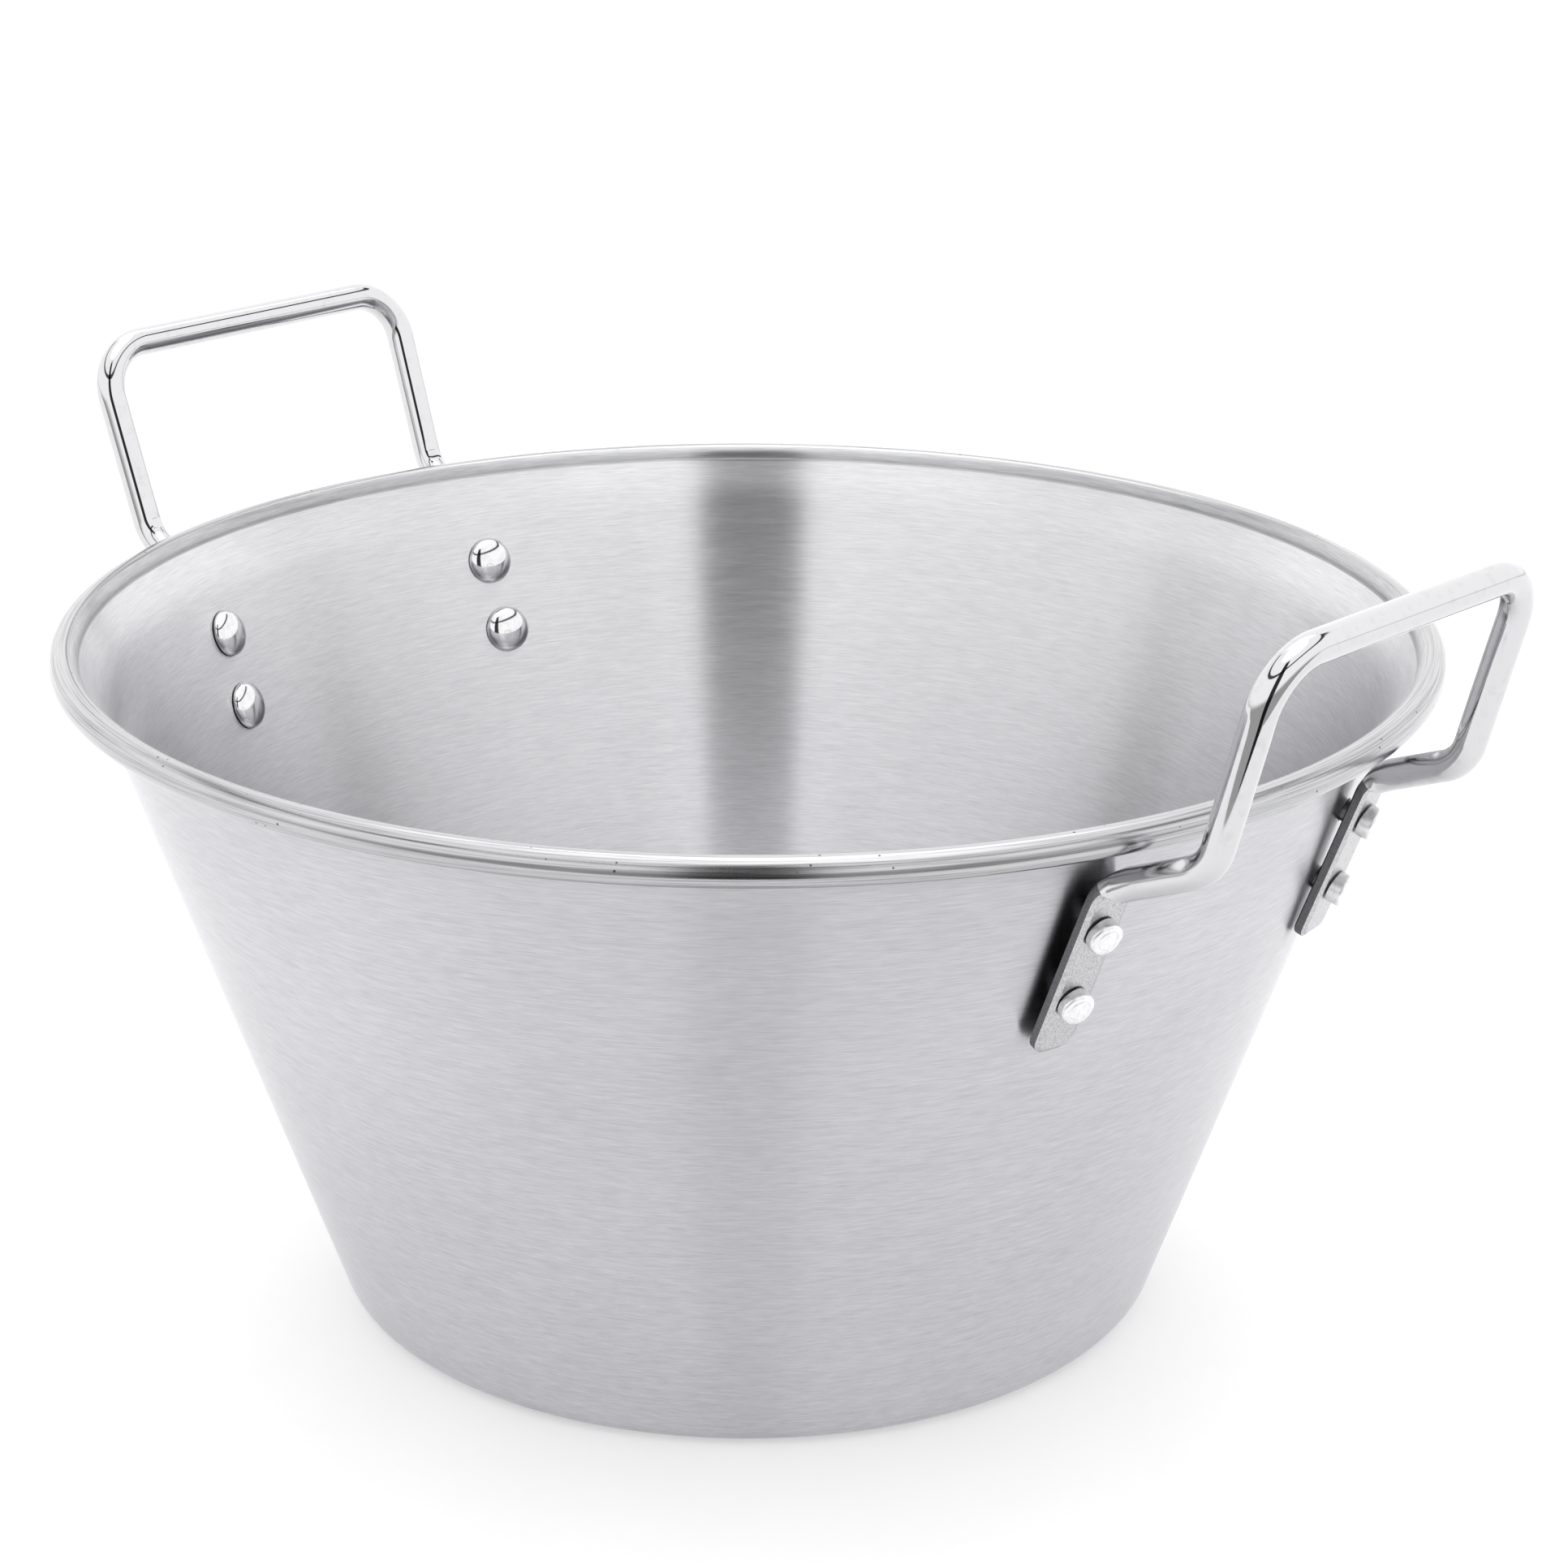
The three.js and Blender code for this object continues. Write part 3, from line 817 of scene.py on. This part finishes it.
def camera():
    back = level_direction(CAMERA_AZIMUTH) * math.cos(CAMERA_ELEVATION)
    back.z = math.sin(CAMERA_ELEVATION)
    data = bpy.data.cameras.new("camera")
    data.lens = CAMERA_LENS
    data.sensor_width = 36.0
    made = bpy.data.objects.new("camera", data)
    made.location = CAMERA_TARGET + back * CAMERA_DISTANCE
    made.rotation_mode = "QUATERNION"
    made.rotation_quaternion = (-back).to_track_quat("-Z", "Y") @ Quaternion((0, 0, 1), CAMERA_ROLL)
    bpy.context.scene.collection.objects.link(made)
    bpy.context.scene.camera = made


def floor():
    """A pale table top whose front edge lies between the pan and the camera, out of its view."""
    material = bpy.data.materials.new("pale_floor")
    material.use_nodes = True
    tree = material.node_tree
    shader = tree.nodes["Principled BSDF"]
    shader.inputs["Roughness"].default_value = 0.7
    grain = noise_at(tree, object_place(tree), 30.0, 3.0)
    colour = between(tree, (0.70, 0.70, 0.70), (0.73, 0.73, 0.73), grain)
    tree.links.new(colour, shader.inputs["Base Color"])
    shader.inputs["Emission Color"].default_value = (1.0, 1.0, 1.0, 1.0)
    shader.inputs["Emission Strength"].default_value = FLOOR_LIFT
    bm = bmesh.new()
    bmesh.ops.create_grid(bm, x_segments=8, y_segments=8, size=FLOOR_HALF_SIZE)
    forward = FLOOR_HALF_SIZE - FLOOR_FRONT_EDGE
    bmesh.ops.translate(bm, verts=bm.verts, vec=(0, forward, 0))
    bmesh.ops.rotate(bm, verts=bm.verts, matrix=Quaternion((0, 0, 1), CAMERA_AZIMUTH).to_matrix())
    mesh = bpy.data.meshes.new("floor")
    bm.to_mesh(mesh)
    bm.free()
    mesh.materials.append(material)
    made = bpy.data.objects.new("floor", mesh)
    bpy.context.scene.collection.objects.link(made)


def studio_world():
    """Soft white surroundings, brighter overhead and high behind, with a dark gap in front.

    They stand still round the pan. Rays straight from the camera see them at least white.
    """
    world = bpy.data.worlds.new("studio")
    bpy.context.scene.world = world
    world.use_nodes = True
    tree = world.node_tree
    background = tree.nodes["Background"]
    background.inputs["Color"].default_value = (1.0, 1.0, 1.0, 1.0)
    direction = node(tree, "TexCoord").outputs["Generated"]
    front = level_direction(CAMERA_AZIMUTH)
    right = Vector((-front.y, front.x, 0))
    towards = node(tree, "VectorMath", {0: direction, 1: front}, operation="DOT_PRODUCT").outputs["Value"]
    sideways = node(tree, "VectorMath", {0: direction, 1: right}, operation="DOT_PRODUCT").outputs["Value"]
    azimuth = maths(tree, "ABSOLUTE", maths(tree, "ARCTAN2", sideways, towards))
    height = node(tree, "SeparateXYZ", {0: direction}).outputs[2]

    def from_elevation(between_angles, light):
        low, high = map(math.sin, between_angles)
        return remap(tree, height, low, high, 0.0, light)

    lamps = remap(tree, azimuth, GAP_START, GAP_END, GAP_LIGHT, 1.0)
    level = remap(tree, height, -HORIZON_BLEND, HORIZON_BLEND, LOW_LIGHT, SIDE_LIGHT)
    off_ring = maths(tree, "ABSOLUTE", maths(tree, "SUBTRACT", maths(tree, "ARCSINE", height), RING_MIDDLE))
    ring_inner, ring_outer = (RING_HALF_WIDTH * (1 + sign * RING_SOFTNESS) for sign in (-1, 1))
    ring = remap(tree, off_ring, ring_inner, ring_outer, RING_LIGHT, 1.0)
    ring = maths(tree, "MAXIMUM", ring, remap(tree, azimuth, RING_END, RING_END + RING_FADE, 0.0, 1.0))
    sides = maths(tree, "MULTIPLY", maths(tree, "MULTIPLY", lamps, level), ring)
    high_light = from_elevation(BACK_RISE, BACK_LIGHT)
    behind = maths(tree, "MULTIPLY", high_light, remap(tree, azimuth, *BACK_REACH, 0.0, 1.0))
    overhead = from_elevation(TOP_RISE, TOP_LIGHT)
    strength = maths(tree, "MAXIMUM", maths(tree, "MAXIMUM", sides, behind), overhead)
    seen = node(tree, "LightPath").outputs["Is Camera Ray"]
    tree.links.new(maths(tree, "MAXIMUM", strength, seen), background.inputs["Strength"])


# ---- the whole

outer = brushed_steel("brushed_steel_outside", (0.48, 0.477, 0.50), (0.65, 0.647, 0.67))
# the inside is a lighter copy of the outside's brushed steel: painted light
lit_inside = brushed_steel("brushed_steel_inside_lit", (0.575, 0.573, 0.59), (0.745, 0.743, 0.76))
# a darker copy of the brushed steel for the crease inside the curl: painted shade
rim_crease_shade = brushed_steel("brushed_steel_rim_shade", (0.36, 0.36, 0.37), (0.54, 0.54, 0.55))
shell(outer, rim_steel(), lit_inside, rim_crease_shade)
rim_wire(wire_steel())
# the third of these is dark steel that paints the shade on the tab's sides and back and on the rivet shanks
rod, tab, painted_shade_edge = rod_steel(), tab_steel(), painted_shade_edge_steel()
dome, head = dome_steel(), head_steel()
for end, turn, bends in (("right", 0.0, RIGHT_BENDS), ("left", math.pi, LEFT_BENDS)):
    handle("handle_" + end, bends, turn, rod, tab, painted_shade_edge)
    for side in (-1, 1):
        for level in (-1, 1):
            rivet(end, turn, side, level, dome, head, painted_shade_edge)
camera()
floor()
studio_world()
bpy.context.scene.view_settings.view_transform = "Standard"
